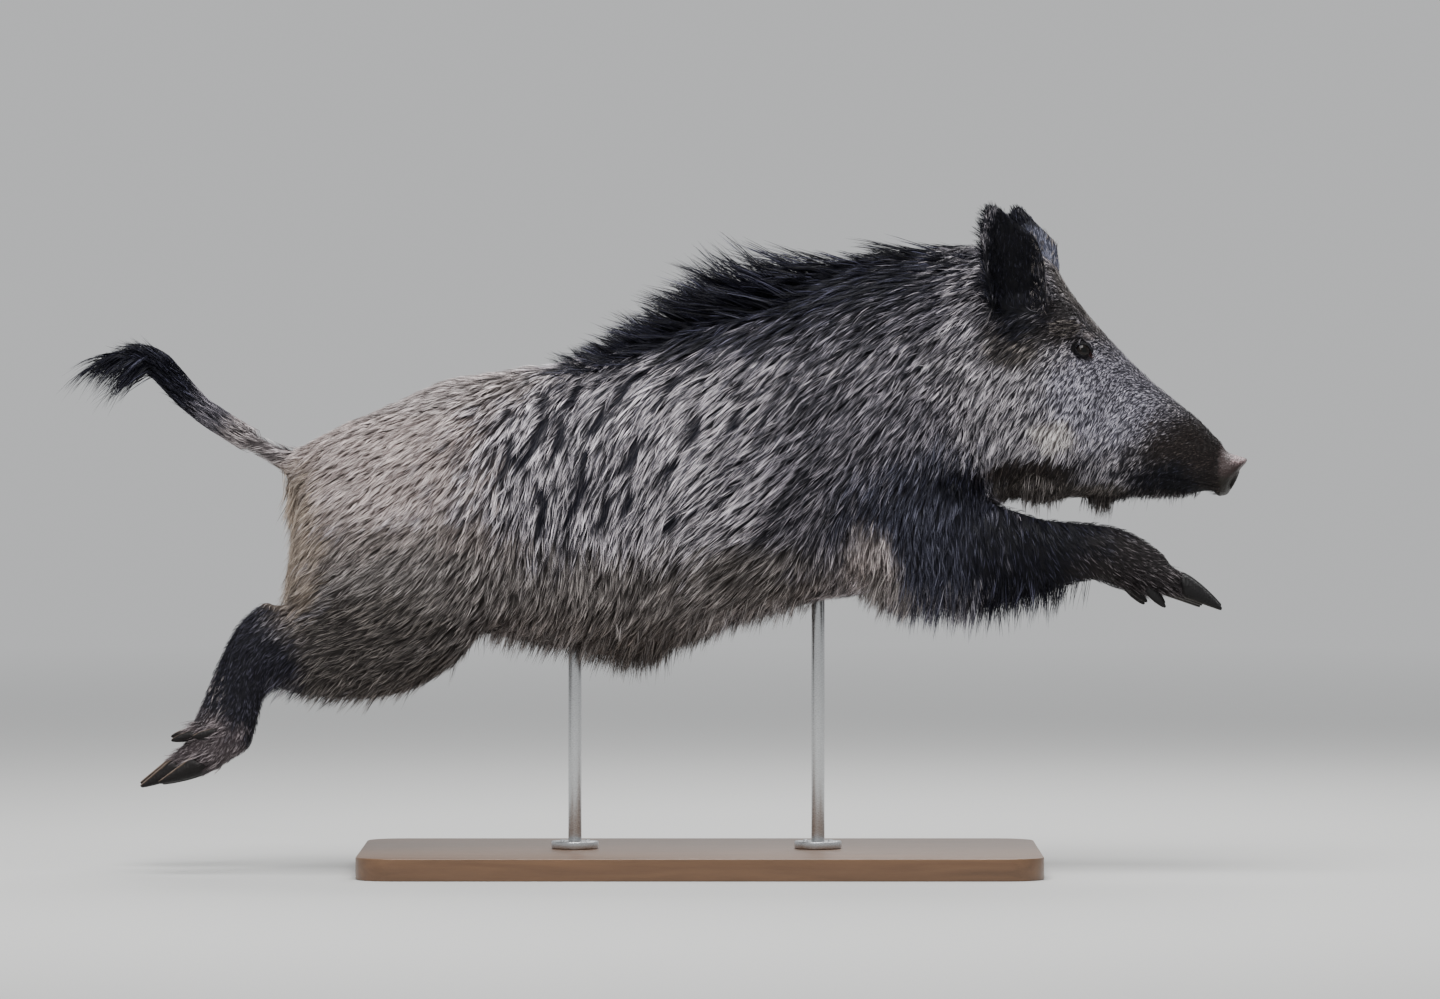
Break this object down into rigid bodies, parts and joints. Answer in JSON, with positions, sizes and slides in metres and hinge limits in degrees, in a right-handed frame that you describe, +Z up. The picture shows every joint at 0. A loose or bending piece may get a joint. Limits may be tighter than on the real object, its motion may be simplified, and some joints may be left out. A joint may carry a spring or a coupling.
{
  "type": "wild boar",
  "caption": "Life-size model of a wild boar leaping at full stretch, in a grizzled winter coat with a dark crest, held over a flat wooden base by slim steel rods.",
  "frame": {"origin": "middle of the flat underside of the stand's base, on the floor", "axes": "+X the way the boar leaps, +Y its left side, +Z up"},
  "size_m": [1.5969, 0.5, 0.9048],
  "materials": {
    "coat_grey": "coarse grizzled coat of dark bristles with pale tips",
    "coat_black": "black bristles",
    "coat_face": "short speckled grey face coat",
    "snout_skin": "bare, slightly moist pinkish-grey skin",
    "horn": "dark worn horn with pale edges",
    "eye": "wet dark brown eyeball",
    "wood": "satin varnished brown wood",
    "steel": "fine brushed steel"
  },
  "bodies": {
    "root": {"trunk": "coat_grey", "neck": "coat_grey", "head": "coat_face", "jaw": "coat_face", "mane_front": "coat_black", "mane_rear": "coat_black", "tail": "coat_grey", "tail_tuft": "coat_black", "snout_disc": "snout_skin", "ear_right": "coat_black", "eye_right": "eye", "shoulder_right": "coat_grey", "forearm_right": "coat_black", "forefoot_right": "coat_black", "thigh_right": "coat_grey", "shank_right": "coat_grey", "hindfoot_right": "coat_black", "claw_fore_right_inner": "horn", "dewclaw_fore_right_inner": "horn", "claw_fore_right_outer": "horn", "dewclaw_fore_right_outer": "horn", "claw_hind_right_inner": "horn", "dewclaw_hind_right_inner": "horn", "claw_hind_right_outer": "horn", "dewclaw_hind_right_outer": "horn", "ear_left": "coat_black", "eye_left": "eye", "shoulder_left": "coat_grey", "forearm_left": "coat_black", "forefoot_left": "coat_black", "thigh_left": "coat_grey", "shank_left": "coat_grey", "hindfoot_left": "coat_black", "claw_fore_left_inner": "horn", "dewclaw_fore_left_inner": "horn", "claw_fore_left_outer": "horn", "dewclaw_fore_left_outer": "horn", "claw_hind_left_inner": "horn", "dewclaw_hind_left_inner": "horn", "claw_hind_left_outer": "horn", "dewclaw_hind_left_outer": "horn", "stand_base": "wood", "stand_rod_front": "steel", "stand_flange_front": "steel", "stand_rod_rear": "steel", "stand_flange_rear": "steel"}
  },
  "joints": []
}
